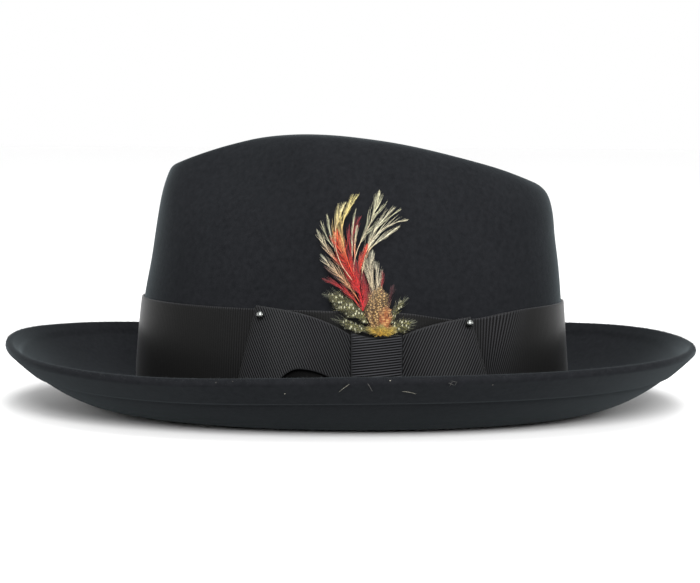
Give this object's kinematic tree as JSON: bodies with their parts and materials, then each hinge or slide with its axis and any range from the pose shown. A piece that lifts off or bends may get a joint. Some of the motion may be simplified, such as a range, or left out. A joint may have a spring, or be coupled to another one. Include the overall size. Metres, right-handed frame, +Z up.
{
  "type": "fedora hat",
  "caption": "Black felt fedora with a teardrop crown, front pinch, upturned brim with a rolled edge, wide ribbed ribbon with a flat bow and studs, and a feather spray.",
  "frame": {"origin": "on the surface the hat rests on, under the middle of the brim", "axes": "+X towards the back of the hat, +Y towards the wearer's right, away from the bow, +Z up"},
  "size_m": [0.3264, 0.2892, 0.1283],
  "materials": {
    "felt": "brushed wool felt, near black with a cool cast, matt with a soft nap",
    "ribbon": "ribbed grosgrain ribbon, near black, low sheen across the ribs",
    "stud_metal": "polished dark nickel",
    "feather": "dyed and natural feathers: cream, red, golden, and dark with pale dots"
  },
  "bodies": {
    "root": {"felt_body": "felt", "ribbon_band": "ribbon", "bow_wing_front": "ribbon", "bow_wing_back": "ribbon", "bow_knot": "ribbon", "stud_front": "stud_metal", "stud_back": "stud_metal", "feather_plume": "feather"}
  },
  "joints": []
}
